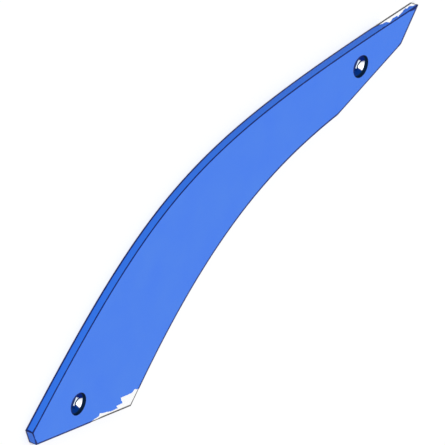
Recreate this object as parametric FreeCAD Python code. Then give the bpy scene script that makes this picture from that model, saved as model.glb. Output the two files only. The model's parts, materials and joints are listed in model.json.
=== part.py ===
# Mouldboard strip of a slatted plough body.
# One flat slat cut from wear plate: a long bowed top edge, a hollow lower edge with a straight
# relief towards the tip, slanted ends, and a sunk square bolt hole near each end.
# It lies on its back face. Origin: on the back face, midway between the two bolt holes.
# +X runs from the broad end to the tip through both holes, +Z out of the front, wearing face.

import FreeCAD, Part
import math
import os
from FreeCAD import Vector

# Plate
plate_thickness = 10.0
arris_break = 0.5               # leg of the small chamfer ground on every outer arris

# Bolt holes, for plough bolts with a sunk head and a square neck
bolt_pitch = 507.5              # centre to centre, along X
sink_diameter = 24.0            # mouth of the sinking, on the front face
sink_lip = 3.2                  # depth of the straight wall round the bolt head
sink_angle = 110.0              # angle between opposite sides of the cone below the lip
neck_square = 12.0              # across the flats of the square neck
neck_turn = 33.0                # turn of the square from the line of the holes, degrees

# Broad end, each size measured from the broad end's bolt hole
end_reach = 70.7                # out to the square end cut
end_top = 28.0                  # up to the end cut's upper corner
end_bottom = 10.0               # up to the end cut's lower corner
heel_in = 66.5                  # back in to the heel, the lowest corner
heel_drop = 71.6                # down to the heel

# Tip end, each size measured from the tip's bolt hole
relief_in = 50.8                # back in to where the straight relief starts
relief_drop = 23.2              # down to the start of the relief
tail_reach = 62.9               # out to the tail corner, where the relief ends
tail_drop = 28.6                # down to the tail corner
tip_reach = 102.3               # out to the tip
tip_drop = 7.8                  # down to the tip

# Long edges, each one curve between its two corners: slope in degrees and length of the handle
top_rise = 20.5
top_rise_handle = 286.0
top_fall = 20.6
top_fall_handle = 374.0
hollow_rise = 26.0
hollow_rise_handle = 187.0
hollow_fall = 14.9
hollow_fall_handle = 118.6

broad_hole = Vector(-bolt_pitch / 2, 0, 0)
tip_hole = Vector(bolt_pitch / 2, 0, 0)


def handle(degrees, length):
    """Vector of a curve's handle, at a slope up from X."""
    turn = math.radians(degrees)
    return Vector(length * math.cos(turn), length * math.sin(turn), 0)


def curved_edge(start, start_handle, end, end_handle):
    """Smooth edge from start to end that leaves and arrives along its two handles."""
    curve = Part.BezierCurve()
    curve.setPoles([start, start + start_handle, end - end_handle, end])
    return curve.toShape()


def straight_edge(start, end):
    return Part.LineSegment(start, end).toShape()


def plate_outline():
    """Closed outline of the slat on the back face, anticlockwise from the end cut's lower corner."""
    end_lower = broad_hole + Vector(-end_reach, end_bottom, 0)
    end_upper = broad_hole + Vector(-end_reach, end_top, 0)
    heel = broad_hole + Vector(heel_in, -heel_drop, 0)
    relief_start = tip_hole + Vector(-relief_in, -relief_drop, 0)
    tail = tip_hole + Vector(tail_reach, -tail_drop, 0)
    tip = tip_hole + Vector(tip_reach, -tip_drop, 0)
    hollow_edge = curved_edge(heel, handle(hollow_rise, hollow_rise_handle),
                              relief_start, handle(-hollow_fall, hollow_fall_handle))
    top_edge = curved_edge(end_upper, handle(top_rise, top_rise_handle),
                           tip, handle(-top_fall, top_fall_handle))
    return Part.Wire([straight_edge(end_lower, heel), hollow_edge,
                      straight_edge(relief_start, tail), straight_edge(tail, tip),
                      top_edge.reversed(), straight_edge(end_upper, end_lower)])


def blank_plate():
    """Slat cut from plate, with the arrises of both faces broken."""
    plate = Part.Face(plate_outline()).extrude(Vector(0, 0, plate_thickness))
    # Every edge but the upright ones at the corners
    rims = [edge for edge in plate.Edges if edge.BoundBox.ZLength < plate_thickness / 2]
    return plate.makeChamfer(arris_break, rims)


def bolt_hole(centre):
    """Tool for one bolt hole: straight lip, cone down to the neck, and the square through the plate."""
    front = Vector(centre.x, centre.y, plate_thickness)
    radius = sink_diameter / 2
    cone_depth = radius / math.tan(math.radians(sink_angle / 2))
    lip_floor = front - Vector(0, 0, sink_lip)
    # The lip's cylinder starts above the face, so the cut leaves no skin there
    overlap = 1.0
    lip = Part.makeCylinder(radius, sink_lip + overlap, lip_floor)
    cone = Part.makeCone(radius, 0, cone_depth, lip_floor, Vector(0, 0, -1))
    neck = Part.makeBox(neck_square, neck_square, plate_thickness + 2 * overlap,
                        Vector(-neck_square / 2, -neck_square / 2, -overlap))
    neck.rotate(Vector(0, 0, 0), Vector(0, 0, 1), neck_turn)
    neck.translate(Vector(centre.x, centre.y, 0))
    return lip.fuse([cone, neck])


def mouldboard_strip():
    return blank_plate().cut([bolt_hole(broad_hole), bolt_hole(tip_hole)])


os.makedirs("parts", exist_ok=True)
strip = mouldboard_strip()
if strip.ShapeType == "Compound" and len(strip.Solids) == 1:
    strip = strip.Solids[0]
strip.exportStep("parts/mouldboard_strip.step")

box = strip.optimalBoundingBox(True, False)
print("mouldboard_strip: valid", strip.isValid(), "solids", len(strip.Solids),
      "faces", len(strip.Faces), "volume cm3", round(strip.Volume / 1000, 2))
print("size mm", round(box.XLength, 2), round(box.YLength, 2), round(box.ZLength, 2),
      "from", round(box.XMin, 2), round(box.YMin, 2), round(box.ZMin, 2))
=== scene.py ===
import json
import math
import random

import bmesh
import bpy
from mathutils import Matrix, Vector, geometry


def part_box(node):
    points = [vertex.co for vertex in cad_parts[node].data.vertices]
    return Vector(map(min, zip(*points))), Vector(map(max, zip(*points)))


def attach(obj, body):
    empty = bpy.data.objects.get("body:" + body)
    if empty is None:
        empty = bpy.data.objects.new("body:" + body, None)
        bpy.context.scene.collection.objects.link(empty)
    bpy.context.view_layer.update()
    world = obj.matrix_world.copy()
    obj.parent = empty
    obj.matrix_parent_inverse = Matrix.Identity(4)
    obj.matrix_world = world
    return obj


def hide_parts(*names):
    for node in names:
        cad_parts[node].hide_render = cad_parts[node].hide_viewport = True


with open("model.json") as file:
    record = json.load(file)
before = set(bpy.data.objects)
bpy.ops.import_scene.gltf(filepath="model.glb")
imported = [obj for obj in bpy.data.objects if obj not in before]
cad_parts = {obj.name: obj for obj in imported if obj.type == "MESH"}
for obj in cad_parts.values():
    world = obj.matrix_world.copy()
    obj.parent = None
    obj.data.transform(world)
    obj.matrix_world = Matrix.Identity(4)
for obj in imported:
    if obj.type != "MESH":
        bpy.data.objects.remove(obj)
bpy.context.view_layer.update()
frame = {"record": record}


# The slat: one flat bar of hardened wear steel, 10 mm thick, that carries the soil over a slatted
# plough mouldboard. It is cut to its outline in one go, every outer arris is ground round so that
# paint holds on it, and it is sprayed all over with one coat of baked enamel.

MM = 0.001
low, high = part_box("mouldboard_strip")
holes = {mount["name"].split("_")[0]: Vector(mount["pos_m"]).xy
         for mount in frame["record"]["mounts"] if mount["name"].endswith("bolt_hole")}
arris_radius = 0.5 * MM
steps_round_arris = 3
steps_along_curve = 72
straight_step = 8.0 * MM

# Corners of the outline, each measured from the nearer bolt hole
heel = holes["broad"] + Vector((66.5, -71.6)) * MM
relief_start = holes["tip"] + Vector((-50.8, -23.2)) * MM
tail = holes["tip"] + Vector((62.9, -28.6)) * MM
point = holes["tip"] + Vector((102.3, -7.8)) * MM
end_upper = holes["broad"] + Vector((-70.7, 28.0)) * MM
end_lower = holes["broad"] + Vector((-70.7, 10.0)) * MM


def heading(degrees, length):
    """Vector in plan of that length, turned from +X."""
    turn = math.radians(degrees)
    return Vector((math.cos(turn), math.sin(turn))) * length


def curved_edge(start, leave, end, arrive):
    """Points along a smooth edge from start up to, but without, its end."""
    knots = [start, start + leave, end - arrive, end]
    points = geometry.interpolate_bezier(*[knot.to_3d() for knot in knots], steps_along_curve)
    return [p.xy for p in points[:-1]]


def straight_edge(start, end):
    """The same for a straight edge, in short steps, so that its rubbing can follow it."""
    steps = round((end - start).length / straight_step)
    return [start.lerp(end, step / steps) for step in range(steps)]


# The two long edges each leave their corners along a handle, as in the slat's drawing
hollow_edge = curved_edge(heel, heading(26.0, 187.0 * MM),
                          relief_start, heading(-14.9, 118.6 * MM))
bowed_edge = curved_edge(point, heading(159.4, 374.0 * MM),
                         end_upper, heading(200.5, 286.0 * MM))
outline = (hollow_edge + straight_edge(relief_start, tail) + straight_edge(tail, point)
           + bowed_edge + straight_edge(end_upper, end_lower) + straight_edge(end_lower, heel))
walls = {"hollow": hollow_edge + [relief_start], "relief": [relief_start, tail],
         "tip": [tail, point], "bowed": bowed_edge + [end_upper],
         "square end": [end_upper, end_lower], "slanted end": [end_lower, heel]}


def new_material(name):
    material = bpy.data.materials.new(name)
    material.use_nodes = True
    return material


def colour(code):
    """Linear colour of an sRGB hex code."""
    parts = [int(code[i:i + 2], 16) / 255 for i in (1, 3, 5)]
    return [p / 12.92 if p <= 0.04045 else ((p + 0.055) / 1.055) ** 2.4 for p in parts] + [1.0]


def add(tree, kind, inputs, **settings):
    """Adds a node with its settings. Each input is a value or another node's output."""
    node = tree.nodes.new(kind)
    for name, value in settings.items():
        setattr(node, name, value)
    for name, value in inputs.items():
        if isinstance(value, bpy.types.NodeSocket):
            tree.links.new(value, node.inputs[name])
        else:
            node.inputs[name].default_value = value
    return node.outputs


def per_mm(size):
    """Noise scale that gives patches of that many mm."""
    return 1 / (size * MM)


# Machinery enamel, sprayed and baked: a closed, even skin with a soft gloss and faint orange peel.
# It clouds a little over the broad face, is painted a deeper blue on the walls as painted shade of
# the upright sides, and thins to navy and then to its dark primer towards each arris, which is what
# draws the slat's lines.
# Real orange peel is finer than 1 mm and wouldn't show, so it is drawn 2.5 mm coarse.
skin_blue, cloud_blue, wall_shade_blue = "#3B76EB", "#4A82E7", "#3075EA"
thin_navy, primer_navy = "#00247C", "#001C58"
cloud_size = 40
peel_size = 2.5
peel_height = 0.02 * MM
peel_strength = 0.3
smoothest, roughest = 0.34, 0.42
enamel_gloss = 0.15

# The painted wall shade, a deeper blue, is full up to that far from mid thickness, and has faded out
# by that far
wall_shade_full = 4.3 * MM
wall_shade_ends = 4.8 * MM

# rub, on the finished mesh, is 0 on an arris and 1 where its rubbing ends. The coat starts to thin
# there, is fully thin nearer the arris, and then shows its primer. Noise makes the borders ragged.
thin_starts, thin_full = 1.0, 0.7
primer_starts, primer_full = 0.6, 0.2
ragged_size = 4
ragged_by = 0.3

enamel = new_material("baked_blue_enamel")
tree = enamel.node_tree
surface = tree.nodes["Principled BSDF"].inputs
place = add(tree, "ShaderNodeTexCoord", {})["Object"]
cloud = add(tree, "ShaderNodeTexNoise",
            {"Vector": place, "Scale": per_mm(cloud_size), "Detail": 4.0})["Fac"]
ragged = add(tree, "ShaderNodeTexNoise",
             {"Vector": place, "Scale": per_mm(ragged_size), "Detail": 4.0})["Fac"]
blue = add(tree, "ShaderNodeMix", {0: cloud, 6: colour(skin_blue), 7: colour(cloud_blue)},
           data_type="RGBA")[2]

# Painted shade: the walls, away from the broad faces, take a deeper blue than the faces
z = add(tree, "ShaderNodeSeparateXYZ", {0: place})["Z"]
off_middle = add(tree, "ShaderNodeMath", {0: z, 1: (low.z + high.z) / 2}, operation="SUBTRACT")[0]
off_middle = add(tree, "ShaderNodeMath", {0: off_middle}, operation="ABSOLUTE")[0]
on_wall_shade = add(tree, "ShaderNodeMapRange",
              {"Value": off_middle, "From Min": wall_shade_ends, "From Max": wall_shade_full})["Result"]
blue = add(tree, "ShaderNodeMix", {0: on_wall_shade, 6: blue, 7: colour(wall_shade_blue)},
           data_type="RGBA")[2]

rub_here = add(tree, "ShaderNodeAttribute", {}, attribute_name="rub")["Fac"]
rub_here = add(tree, "ShaderNodeMath", {0: ragged, 1: -ragged_by, 2: rub_here},
               operation="MULTIPLY_ADD")[0]
thin = add(tree, "ShaderNodeMapRange",
           {"Value": rub_here, "From Min": thin_starts, "From Max": thin_full},
           interpolation_type="SMOOTHSTEP")["Result"]
primer = add(tree, "ShaderNodeMapRange",
             {"Value": rub_here, "From Min": primer_starts, "From Max": primer_full})["Result"]
blue = add(tree, "ShaderNodeMix", {0: thin, 6: blue, 7: colour(thin_navy)}, data_type="RGBA")[2]
blue = add(tree, "ShaderNodeMix", {0: primer, 6: blue, 7: colour(primer_navy)},
           data_type="RGBA")[2]
tree.links.new(blue, surface["Base Color"])

rough = add(tree, "ShaderNodeMapRange",
            {"Value": cloud, "To Min": smoothest, "To Max": roughest})["Result"]
tree.links.new(rough, surface["Roughness"])
surface["Specular IOR Level"].default_value = enamel_gloss
peel = add(tree, "ShaderNodeTexNoise",
           {"Vector": place, "Scale": per_mm(peel_size), "Detail": 1.0})["Fac"]
bump = add(tree, "ShaderNodeBump",
           {"Height": peel, "Distance": peel_height, "Strength": peel_strength})
tree.links.new(bump["Normal"], surface["Normal"])


def only(obj):
    """Makes obj the one selected object."""
    bpy.ops.object.select_all(action="DESELECT")
    obj.select_set(True)
    bpy.context.view_layer.objects.active = obj


def select_faces(obj, wanted):
    """Selects, in edit mode, the faces that wanted(centre, normal) picks."""
    bpy.ops.mesh.select_mode(type="FACE")
    bpy.ops.mesh.select_all(action="DESELECT")
    mesh = bmesh.from_edit_mesh(obj.data)
    for face in mesh.faces:
        face.select_set(wanted(face.calc_center_median(), face.normal))
    bmesh.update_edit_mesh(obj.data)


def prism(name, points, depth, material, place=Matrix()):
    """Solid with that flat outline at place, extruded by depth along its own Z."""
    mesh = bpy.data.meshes.new(name)
    mesh.from_pydata([place @ p.to_3d() for p in points], [], [range(len(points))])
    mesh.materials.append(material)
    obj = bpy.data.objects.new(name, mesh)
    bpy.context.collection.objects.link(obj)
    only(obj)
    bpy.ops.object.mode_set(mode="EDIT")
    bpy.ops.mesh.select_all(action="SELECT")
    lift = place.to_3x3() @ Vector((0, 0, depth))
    bpy.ops.mesh.extrude_region_move(TRANSFORM_OT_translate={"value": lift})
    bpy.ops.mesh.select_all(action="SELECT")
    bpy.ops.mesh.normals_make_consistent(inside=False)
    bpy.ops.object.mode_set(mode="OBJECT")
    return obj


# How far a face's normal points along Z: at least so far on a broad face, at most so far on a wall
broad_normal = 0.99
wall_normal = 0.01

slat = prism("blue_slat", outline, high.z - low.z, enamel)
bpy.ops.object.mode_set(mode="EDIT")
select_faces(slat, lambda centre, normal: abs(normal.z) > broad_normal)
bpy.ops.mesh.region_to_loop()
bpy.ops.mesh.bevel(offset=arris_radius, segments=steps_round_arris, affect="EDGES")
bpy.ops.object.mode_set(mode="OBJECT")


# The two bolt holes: each sinks the round head of a plough bolt below the wearing face. They are
# pressed while the slat is hot: a straight lip, a cone that the head pulls down into, and a square
# neck that stops the bolt from turning. Their enamel carries painted shade and painted highlights.

mouth_radius = 12.0 * MM
lip_depth = 3.2 * MM
cone_angle = math.radians(110.0)
neck_across = 12.0 * MM
neck_turn = 33.0
steps_round_mouth = 96
past_face = 1.0 * MM
same_point = 0.001 * MM
cone_depth = mouth_radius / math.tan(cone_angle / 2)
lip_floor = high.z - lip_depth

# Enamel in a sinking, painted navy and dull as painted shade: nearly black under the lip as deeper
# painted shade, and a little bluer at one end as a painted lighter side. On one flat of the neck and
# on a wedge of the cone above that flat it is painted near-white and metallic as painted highlights,
# with a dark line left between the two.
shade_navy, lighter_shade_blue, deep_shade_black = "#001F74", "#002F7C", "#0A2442"
highlight_grey, highlight_white, flat_highlight = "#D8DCE4", "#E8EAEE", "#ECF6FF"
lit_end_half = 4 * MM
seat_gloss = 0.03
seat_roughness = 0.35
fray_size = 3

# The wedge's middle and its half width. Past that, in radians: how far noise frays its sides, where
# it starts to fade and is gone, and where the dark line at its foot does the same.
wedge_bearing = math.radians(-46)
wedge_half = math.radians(27)
wedge_fray = 0.2
wedge_fades = 0.02, 0.16
line_fades = 0.1, 0.3

# The dark lines on the cone, along the flat and down from the lip, start to fade at the first
# distance and are gone at the second. The flat's painted highlight lies between its own line, its
# foot and one end.
line_on_cone = 0.30 * MM, 0.48 * MM
line_at_lip = 0.49 * MM, 0.70 * MM
line_on_flat = 0.9 * MM
flat_foot = 0.6 * MM
flat_end = -3.4 * MM
flat_slack = 0.05 * MM

seat_enamel = new_material("seat_enamel_painted_shade_and_highlights")
tree = seat_enamel.node_tree
surface = tree.nodes["Principled BSDF"].inputs
place = add(tree, "ShaderNodeTexCoord", {})["Object"]
fray = add(tree, "ShaderNodeTexNoise",
           {"Vector": place, "Scale": per_mm(fray_size), "Detail": 3.0})["Fac"]

# Both holes take the same pattern, each from its own axis
x, y, z = add(tree, "ShaderNodeSeparateXYZ", {0: place}).values()
side = add(tree, "ShaderNodeMath", {0: x}, operation="SIGN")[0]
own_x = add(tree, "ShaderNodeMath", {0: side, 1: -holes["tip"].x, 2: x},
            operation="MULTIPLY_ADD")[0]
from_axis = add(tree, "ShaderNodeCombineXYZ", {0: own_x, 1: y})[0]
radius = add(tree, "ShaderNodeVectorMath", {0: from_axis}, operation="LENGTH")["Value"]
towards_flat = heading(neck_turn - 90, 1).to_3d()
out = add(tree, "ShaderNodeVectorMath", {0: from_axis, 1: towards_flat},
          operation="DOT_PRODUCT")["Value"]
along_flat = heading(neck_turn, 1).to_3d()
along = add(tree, "ShaderNodeVectorMath", {0: from_axis, 1: along_flat},
            operation="DOT_PRODUCT")["Value"]

# Depth below the cone, which is 0 on the cone and grows down the neck
cone_z = add(tree, "ShaderNodeMath",
             {0: radius, 1: cone_depth / mouth_radius, 2: lip_floor - cone_depth},
             operation="MULTIPLY_ADD")[0]
below = add(tree, "ShaderNodeMath", {0: cone_z, 1: z}, operation="SUBTRACT")[0]

# 1 on the painted highlight wedge, kept clear of the flat and of the lip
bearing = add(tree, "ShaderNodeMath", {0: y, 1: own_x}, operation="ARCTAN2")[0]
off_wedge = add(tree, "ShaderNodeMath", {0: bearing, 1: wedge_bearing}, operation="SUBTRACT")[0]
off_wedge = add(tree, "ShaderNodeMath", {0: off_wedge}, operation="ABSOLUTE")[0]
off_wedge = add(tree, "ShaderNodeMath", {0: fray, 1: wedge_fray, 2: off_wedge},
                operation="MULTIPLY_ADD")[0]
wedge = add(tree, "ShaderNodeMapRange",
            {"Value": off_wedge, "From Min": wedge_half + wedge_fades[1],
             "From Max": wedge_half + wedge_fades[0]})["Result"]
off_flat = add(tree, "ShaderNodeMapRange",
               {"Value": out, "From Min": neck_across / 2 + line_on_cone[0],
                "From Max": neck_across / 2 + line_on_cone[1]})["Result"]
off_lip = add(tree, "ShaderNodeMapRange",
              {"Value": z, "From Min": lip_floor - line_at_lip[0],
               "From Max": lip_floor - line_at_lip[1]})["Result"]
wedge = add(tree, "ShaderNodeMath", {0: wedge, 1: off_flat}, operation="MULTIPLY")[0]
wedge = add(tree, "ShaderNodeMath", {0: wedge, 1: off_lip}, operation="MULTIPLY")[0]

# 1 on the flat's painted highlight, kept clear of the cone, of its own foot and of one end
off_cone = add(tree, "ShaderNodeMath", {0: below, 1: line_on_flat}, operation="GREATER_THAN")[0]
on_flat = add(tree, "ShaderNodeMath", {0: out, 1: neck_across / 2 - flat_slack},
              operation="GREATER_THAN")[0]
off_foot = add(tree, "ShaderNodeMath", {0: z, 1: low.z + flat_foot}, operation="GREATER_THAN")[0]
off_end = add(tree, "ShaderNodeMath", {0: along, 1: flat_end}, operation="GREATER_THAN")[0]
flat = add(tree, "ShaderNodeMath", {0: off_cone, 1: on_flat}, operation="MULTIPLY")[0]
flat = add(tree, "ShaderNodeMath", {0: flat, 1: off_foot}, operation="MULTIPLY")[0]
flat = add(tree, "ShaderNodeMath", {0: flat, 1: off_end}, operation="MULTIPLY")[0]
highlighted = add(tree, "ShaderNodeMath", {0: wedge, 1: flat}, operation="MAXIMUM")[0]

# 1 on the lighter painted shade, 0 under the lip, which takes the deepest painted shade, and on the
# line between the flat and the wedge
off_line_here = add(tree, "ShaderNodeMath", {0: off_flat, 1: off_cone}, operation="MAXIMUM")[0]
beside = add(tree, "ShaderNodeMapRange",
             {"Value": off_wedge, "From Min": wedge_half + line_fades[0],
              "From Max": wedge_half + line_fades[1]})["Result"]
out_of_deep_shade = add(tree, "ShaderNodeMath", {0: off_line_here, 1: beside}, operation="MAXIMUM")[0]
out_of_deep_shade = add(tree, "ShaderNodeMath", {0: out_of_deep_shade, 1: off_lip}, operation="MULTIPLY")[0]

# Painted shade: navy, turning bluer towards one end of each hole as a painted lighter side
lit_end = add(tree, "ShaderNodeMapRange",
           {"Value": along, "From Min": lit_end_half, "From Max": -lit_end_half})["Result"]
navy = add(tree, "ShaderNodeMix", {0: lit_end, 6: colour(shade_navy), 7: colour(lighter_shade_blue)},
           data_type="RGBA")[2]
navy = add(tree, "ShaderNodeMix", {0: out_of_deep_shade, 6: colour(deep_shade_black), 7: navy},
           data_type="RGBA")[2]
# Painted highlights: near-white and metallic on the wedge and on the flat
bright = add(tree, "ShaderNodeMix", {0: fray, 6: colour(highlight_grey), 7: colour(highlight_white)},
             data_type="RGBA")[2]
bright = add(tree, "ShaderNodeMix", {0: flat, 6: bright, 7: colour(flat_highlight)},
             data_type="RGBA")[2]
seat = add(tree, "ShaderNodeMix", {0: highlighted, 6: navy, 7: bright}, data_type="RGBA")[2]
tree.links.new(seat, surface["Base Color"])
tree.links.new(highlighted, surface["Metallic"])
surface["Roughness"].default_value = seat_roughness
surface["Specular IOR Level"].default_value = seat_gloss


def cut(obj, tool):
    """Takes the tool's shape out of obj."""
    boolean = obj.modifiers.new("cut", "BOOLEAN")
    boolean.operation = "DIFFERENCE"
    boolean.solver = "EXACT"
    boolean.material_mode = "TRANSFER"
    boolean.object = tool
    only(obj)
    bpy.ops.object.modifier_apply(modifier=boolean.name)


def sinking(centre):
    """Tool for the lip and the cone, spun from its half section."""
    section = [(0, high.z + past_face), (mouth_radius, high.z + past_face),
               (mouth_radius, lip_floor), (0, lip_floor - cone_depth)]
    mesh = bpy.data.meshes.new("sinking")
    mesh.from_pydata([(centre.x + r, centre.y, z) for r, z in section],
                     [(0, 1), (1, 2), (2, 3)], [])
    mesh.materials.append(seat_enamel)
    obj = bpy.data.objects.new("sinking", mesh)
    bpy.context.collection.objects.link(obj)
    only(obj)
    bpy.ops.object.mode_set(mode="EDIT")
    bpy.ops.mesh.select_all(action="SELECT")
    bpy.ops.mesh.spin(steps=steps_round_mouth, angle=math.tau,
                      center=centre.to_3d(), axis=(0, 0, 1))
    bpy.ops.mesh.select_all(action="SELECT")
    bpy.ops.mesh.remove_doubles(threshold=same_point)
    bpy.ops.mesh.normals_make_consistent(inside=False)
    bpy.ops.object.mode_set(mode="OBJECT")
    return obj


def square_neck(centre):
    """Tool for the square through the slat, turned as the hole is."""
    half = neck_across / 2
    corners = [Vector((-half, -half)), Vector((half, -half)),
               Vector((half, half)), Vector((-half, half))]
    foot = Matrix.Translation((centre.x, centre.y, low.z - past_face))
    turned = foot @ Matrix.Rotation(math.radians(neck_turn), 4, "Z")
    return prism("square_neck", corners, high.z - low.z, seat_enamel, turned)


for centre in holes.values():
    for tool in (sinking(centre), square_neck(centre)):
        cut(slat, tool)
        bpy.data.objects.remove(tool)


# The chips: the enamel has flaked off down to clean steel in two places. One lies round the heel
# corner of the wearing face, the other low on the bowed edge just before the tip. The coat is drawn
# a quarter of a millimetre thick, more than a real one, so that its torn border shows as a step.

film = 0.25 * MM
chip_depth = 1.2 * MM
chip_step = 1.3 * MM
chip_rag = 0.35 * MM
draw = random.Random(7)

# In mm from the heel: its torn line, from the hollow edge round to the slanted end, and then points
# outside the slat that close the chip's tool
heel_tear = [(19.2, 8.7), (18.2, 8.2), (12.1, 13.9), (6.4, 14.0), (-9.7, 22.9), (-9.9, 14.8),
             (-18.7, 19.7), (-17.6, 15.2), (-29.5, 22.2), (-43.0, 33.6), (-45.7, 31.7),
             (-48.5, 32.7), (-53.0, 34.6), (-57.0, 35.3), (-60.0, 35.6)]
heel_outside = [(-62.0, 30.0), (-2.0, -8.0), (24.0, 4.0)]

# The same for the tip's chip, in mm back from the tip and up the bowed edge from the back face
tip_tear = [(67.0, -1.0), (61.5, 1.8), (48.6, 5.1), (47.4, 8.4), (39.0, 5.5), (31.7, 5.8),
            (32.6, 7.9), (13.6, 3.3), (14.1, 5.0), (7.6, 4.1), (5.7, 6.7), (1.1, 7.3), (-3.0, 7.5)]
tip_outside = [(-3.0, -1.0)]

# Clean wear steel, rolled and then blasted: bright, with faint strokes along the slat, and a rim of
# soil stuck dark brown along its arrises. The strokes are finer than 0.1 mm in the real steel, so
# they are drawn 1.5 mm coarse.
steel_white, steel_grey, soil_brown = "#FFFFFF", "#EEF0F2", "#2A2520"
stroke_size = 1.5
stroke_stretch = 0.15
polished, blasted = 0.3, 0.5
soil_full, soil_ends = 0.65, 0.85       # in rub, which is 0 on an arris

clean_steel = new_material("blasted_wear_steel")
tree = clean_steel.node_tree
surface = tree.nodes["Principled BSDF"].inputs
place = add(tree, "ShaderNodeTexCoord", {})["Object"]
stretched = add(tree, "ShaderNodeMapping",
                {"Vector": place, "Scale": (stroke_stretch, 1.0, 1.0)})["Vector"]
stroke = add(tree, "ShaderNodeTexNoise",
             {"Vector": stretched, "Scale": per_mm(stroke_size), "Detail": 3.0})["Fac"]
grey = add(tree, "ShaderNodeMix", {0: stroke, 6: colour(steel_white), 7: colour(steel_grey)},
           data_type="RGBA")[2]
rub_here = add(tree, "ShaderNodeAttribute", {}, attribute_name="rub")["Fac"]
soil = add(tree, "ShaderNodeMapRange",
           {"Value": rub_here, "From Min": soil_ends, "From Max": soil_full})["Result"]
grey = add(tree, "ShaderNodeMix", {0: soil, 6: grey, 7: colour(soil_brown)},
           data_type="RGBA")[2]
tree.links.new(grey, surface["Base Color"])
bare = add(tree, "ShaderNodeMath", {0: 1.0, 1: soil}, operation="SUBTRACT")[0]
tree.links.new(bare, surface["Metallic"])
rough = add(tree, "ShaderNodeMapRange",
            {"Value": stroke, "To Min": polished, "To Max": blasted})["Result"]
tree.links.new(rough, surface["Roughness"])

# Torn enamel: the broken edge of the film, matt and a shade deeper than its skin. It mottles by the
# millimetre, as a brittle break does.
torn_blue, mottled_blue = "#1A49AC", "#2055C4"
break_size = 1.0
torn_roughness = 0.7

torn_enamel = new_material("torn_blue_enamel")
tree = torn_enamel.node_tree
surface = tree.nodes["Principled BSDF"].inputs
place = add(tree, "ShaderNodeTexCoord", {})["Object"]
mottle = add(tree, "ShaderNodeTexNoise",
             {"Vector": place, "Scale": per_mm(break_size), "Detail": 2.0})["Fac"]
blue = add(tree, "ShaderNodeMix", {0: mottle, 6: colour(torn_blue), 7: colour(mottled_blue)},
           data_type="RGBA")[2]
tree.links.new(blue, surface["Base Color"])
surface["Roughness"].default_value = torn_roughness


def off_line(place, line):
    """Distance in plan from a place to the nearest stretch of a line."""
    feet = []
    for start, end in zip(line, line[1:]):
        foot, share = geometry.intersect_point_line(place.xy, start, end)
        feet.append(start.lerp(end, min(max(share, 0), 1)))
    return min((place.xy - foot).length for foot in feet)


# A ring of faces along every arris, on both broad faces and then on each wall, so that the coat and
# the steel can change towards it
ring_width = 3.0 * MM
on_wall = 0.01 * MM
only(slat)
bpy.ops.object.mode_set(mode="EDIT")
for side in (1, -1):
    select_faces(slat, lambda centre, normal: normal.z * side > broad_normal)
    bpy.ops.mesh.inset(thickness=ring_width, depth=0)
for wall in walls.values():
    select_faces(slat, lambda centre, normal: abs(normal.z) < wall_normal
                 and off_line(centre, wall) < on_wall)
    bpy.ops.mesh.inset(thickness=ring_width, depth=0)
bpy.ops.object.mode_set(mode="OBJECT")

# The steel inside its enamel
steel = slat.copy()
steel.data = slat.data.copy()
steel.data.materials[0] = clean_steel
bpy.context.collection.objects.link(steel)
only(steel)
bpy.ops.object.mode_set(mode="EDIT")
bpy.ops.mesh.select_all(action="SELECT")
bpy.ops.transform.shrink_fatten(value=-film, use_even_offset=True)
bpy.ops.object.mode_set(mode="OBJECT")


def torn(corners):
    """The torn line through those corners, ragged between them."""
    line = []
    for start, end in zip(corners, corners[1:]):
        start, end = Vector(start) * MM, Vector(end) * MM
        steps = max(1, round((end - start).length / chip_step))
        for step in range(steps):
            stray = Vector((draw.uniform(-1, 1), draw.uniform(-1, 1))) * chip_rag
            line.append(start.lerp(end, step / steps) + (stray if step else Vector((0, 0))))
    return line


def chip(name, tear, outside, place):
    """Takes the enamel off inside a torn line, down to the steel under it."""
    points = torn(tear) + [Vector(p) * MM for p in outside]
    tool = prism(name, points, chip_depth + past_face, torn_enamel, place)
    cut(tool, steel)
    cut(slat, tool)
    bpy.data.objects.remove(tool)


heel_place = Matrix.Translation((heel.x, heel.y, high.z - chip_depth))
chip("heel_chip", heel_tear, heel_outside, heel_place)

# The tip's chip is drawn along the eighth of the bowed edge next to the tip, nearly straight there
back = (bowed_edge[steps_along_curve // 8] - point).normalized().to_3d()
up = Vector((0, 0, 1))
outwards = back.cross(up)
tip_place = Matrix((back, up, outwards)).transposed().to_4x4()
tip_place.translation = point.to_3d() - outwards * chip_depth
chip("tip_chip", tip_tear, tip_outside, tip_place)
bpy.data.objects.remove(steel)

# The tears leave slivers finer than the film is thick, which are merged away. Even triangles let
# the rubbing spread as it should over the long faces.
sliver = 0.08 * MM
only(slat)
bpy.ops.object.mode_set(mode="EDIT")
bpy.ops.mesh.select_all(action="SELECT")
bpy.ops.mesh.remove_doubles(threshold=sliver)
bpy.ops.mesh.quads_convert_to_tris(quad_method="BEAUTY", ngon_method="BEAUTY")
bpy.ops.object.mode_set(mode="OBJECT")


# The arrises: soil and handling have rubbed the coat thin along every edge. How far that reaches
# goes into the mesh as rub, which the enamel and the steel read. It reaches further over the face
# where the wall beside it is out of the photograph's sight, so that all the lines look alike.

# In mm: in over the wearing face, the back or a neck's surround, and then along the wall beside it
face_reach = {"hollow": (2.5, 1.2), "relief": (2.1, 1.2), "tip": (2.7, 1.2),
              "bowed": (1.15, 0.75), "square end": (0.7, 0.5), "slanted end": (2.0, 1.2)}
back_reach = (1.5, 2.1)
neck_reach = (0.8, 1.0)
corner_reach = 1.0 * MM
point_reach = 2.2 * MM
highest_rub = 8.0
smooth_under = math.radians(32)

# A mouth's rim is rubbed wider on the side that the soil comes from
soil_from = heading(123, 1)
rim_reach = 0.4 * MM
struck_reach = 1.5 * MM

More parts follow.
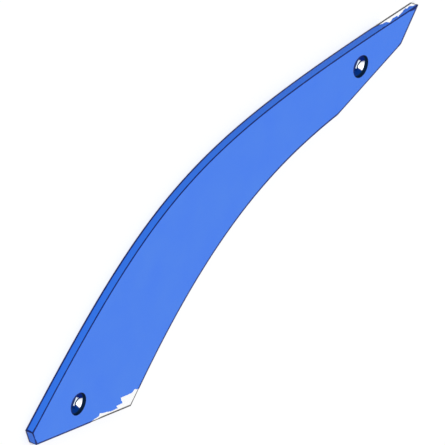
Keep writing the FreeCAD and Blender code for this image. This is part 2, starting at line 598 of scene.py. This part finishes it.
half_diagonal = neck_across / math.sqrt(2)
square = [heading(neck_turn + 45 + 90 * quarter, half_diagonal) for quarter in range(5)]
rubbed = [(walls[name], high.z, reach) for name, reach in face_reach.items()]
rubbed += [(wall, low.z, back_reach) for wall in walls.values()]
rubbed += [([centre + corner for corner in square], low.z, neck_reach)
           for centre in holes.values()]

# Soil cakes wider on the bare steel: along the tip's chip, the first 62 mm of the bowed edge, and
# along the heel's, a third of the slanted end
caked_near_tip = bowed_edge[:5]
caked_near_heel = [heel, heel.lerp(end_lower, 0.33)]
rubbed += [(caked_near_tip, low.z, (1.5, 3.0)), (caked_near_heel, high.z, (2.9, 1.2))]


def rub(place):
    """0 on the nearest arris, 1 where its rubbing ends, and more beyond."""
    near = [max(off_line(place, line) / inwards, abs(place.z - height) / upright) / MM
            for line, height, (inwards, upright) in rubbed]
    near += [(place.xy - wall[0]).length / corner_reach for wall in walls.values()]
    near.append((place.xy - point).length / point_reach)
    for centre in holes.values():
        spoke = place.xy - centre
        struck = max(spoke.normalized().dot(soil_from), 0) ** 2
        off_rim = max(abs(spoke.length - mouth_radius), abs(place.z - high.z))
        near.append(off_rim / (rim_reach + struck * struck_reach))
    return min(near + [highest_rub])


rubs = slat.data.attributes.new("rub", "FLOAT", "POINT")
for vertex in slat.data.vertices:
    rubs.data[vertex.index].value = rub(vertex.co)

only(slat)
bpy.ops.object.shade_smooth_by_angle(angle=smooth_under)
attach(slat, "root")
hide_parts("mouldboard_strip")


# The studio: a white floor that keeps the slat's shadow, an even pale sky, and one broad soft lamp
# on the camera's side, which leaves the upright edges a step darker than the face, as does the
# enamel's painted wall shade.

floor_across = 60.0
floor_gap = 0.02 * MM
paper_white, paper_grey, shaded_floor = "#FFFFFF", "#C8C8C8", "#1C3468"
sky_light, sky_seen = 0.35, 1.0


def backdrop_seen(tree):
    """1 where the eye, or a reflection, sees the backdrop, and 0 for the light that it gives."""
    rays = add(tree, "ShaderNodeLightPath", {})
    seen = add(tree, "ShaderNodeMath", {0: rays["Is Camera Ray"], 1: rays["Is Glossy Ray"]},
               operation="MAXIMUM")[0]
    return add(tree, "ShaderNodeMath", {0: seen, 1: rays["Is Transmission Ray"]},
               operation="MAXIMUM")[0]


bpy.ops.object.select_all(action="DESELECT")
bpy.ops.mesh.primitive_plane_add(size=floor_across, location=(0, 0, low.z - floor_gap))
floor = bpy.context.object
floor.name = "floor"

# Seamless paper: matt white, with painted deep shade on the floor inside the two necks, for camera
# rays only
paper = new_material("matt_white_paper")
tree = paper.node_tree
surface = tree.nodes["Principled BSDF"].inputs
white = add(tree, "ShaderNodeMix",
            {0: backdrop_seen(tree), 6: colour(paper_grey), 7: colour(paper_white)},
            data_type="RGBA")[2]
place = add(tree, "ShaderNodeTexCoord", {})["Object"]
folded = add(tree, "ShaderNodeVectorMath", {0: place}, operation="ABSOLUTE")["Vector"]
from_hole = add(tree, "ShaderNodeVectorMath", {0: folded, 1: holes["tip"].to_3d()},
                operation="DISTANCE")["Value"]
inside = add(tree, "ShaderNodeMath", {0: from_hole, 1: mouth_radius}, operation="LESS_THAN")[0]
eye = add(tree, "ShaderNodeLightPath", {})["Is Camera Ray"]
inside = add(tree, "ShaderNodeMath", {0: inside, 1: eye}, operation="MULTIPLY")[0]
white = add(tree, "ShaderNodeMix", {0: inside, 6: white, 7: colour(shaded_floor)},
            data_type="RGBA")[2]
tree.links.new(white, surface["Base Color"])
surface["Specular IOR Level"].default_value = 0.0
surface["Roughness"].default_value = 1.0
floor.data.materials.append(paper)

sky = bpy.data.worlds.new("sky")
bpy.context.scene.world = sky
sky.use_nodes = True
tree = sky.node_tree
level = add(tree, "ShaderNodeMapRange",
            {"Value": backdrop_seen(tree), "To Min": sky_light, "To Max": sky_seen})["Result"]
background = tree.nodes["Background"].inputs
background["Color"].default_value = colour(paper_white)
tree.links.new(level, background["Strength"])

lamp_bearing = math.radians(123)
lamp_height = math.radians(55)
lamp_from = Vector((math.cos(lamp_bearing), math.sin(lamp_bearing), math.tan(lamp_height)))
bpy.ops.object.light_add(type="SUN", location=lamp_from)
lamp = bpy.context.object
lamp.data.angle = math.radians(40)
lamp.data.energy = 2.55
lamp.rotation_euler = lamp_from.to_track_quat("Z", "Y").to_euler()

# The camera looks down on the slat from behind its bowed edge, from so far off that nothing
# converges. Its frame is that wide at the slat, and moved by that much to the right and up.
frame_width = 453.1 * MM
frame_right = 1.79 * MM
frame_up = 12.11 * MM
distance_off = 20.1
right = Vector((0.566341, -0.208282, 0.797419))
upward = Vector((0.676757, 0.669730, -0.305715))
towards = right.cross(upward)
aim = Vector((0.0, 0.0, high.z)) + right * frame_right + upward * frame_up
bpy.ops.object.camera_add()
camera = bpy.context.object
turned = Matrix((right, upward, towards)).transposed().to_4x4()
camera.matrix_world = Matrix.Translation(aim + towards * distance_off) @ turned
camera.data.sensor_width = 36.0
camera.data.lens = camera.data.sensor_width * distance_off / frame_width
camera.data.clip_start = 1.0
camera.data.clip_end = 100.0
bpy.context.scene.camera = camera
bpy.context.scene.view_settings.view_transform = "Standard"
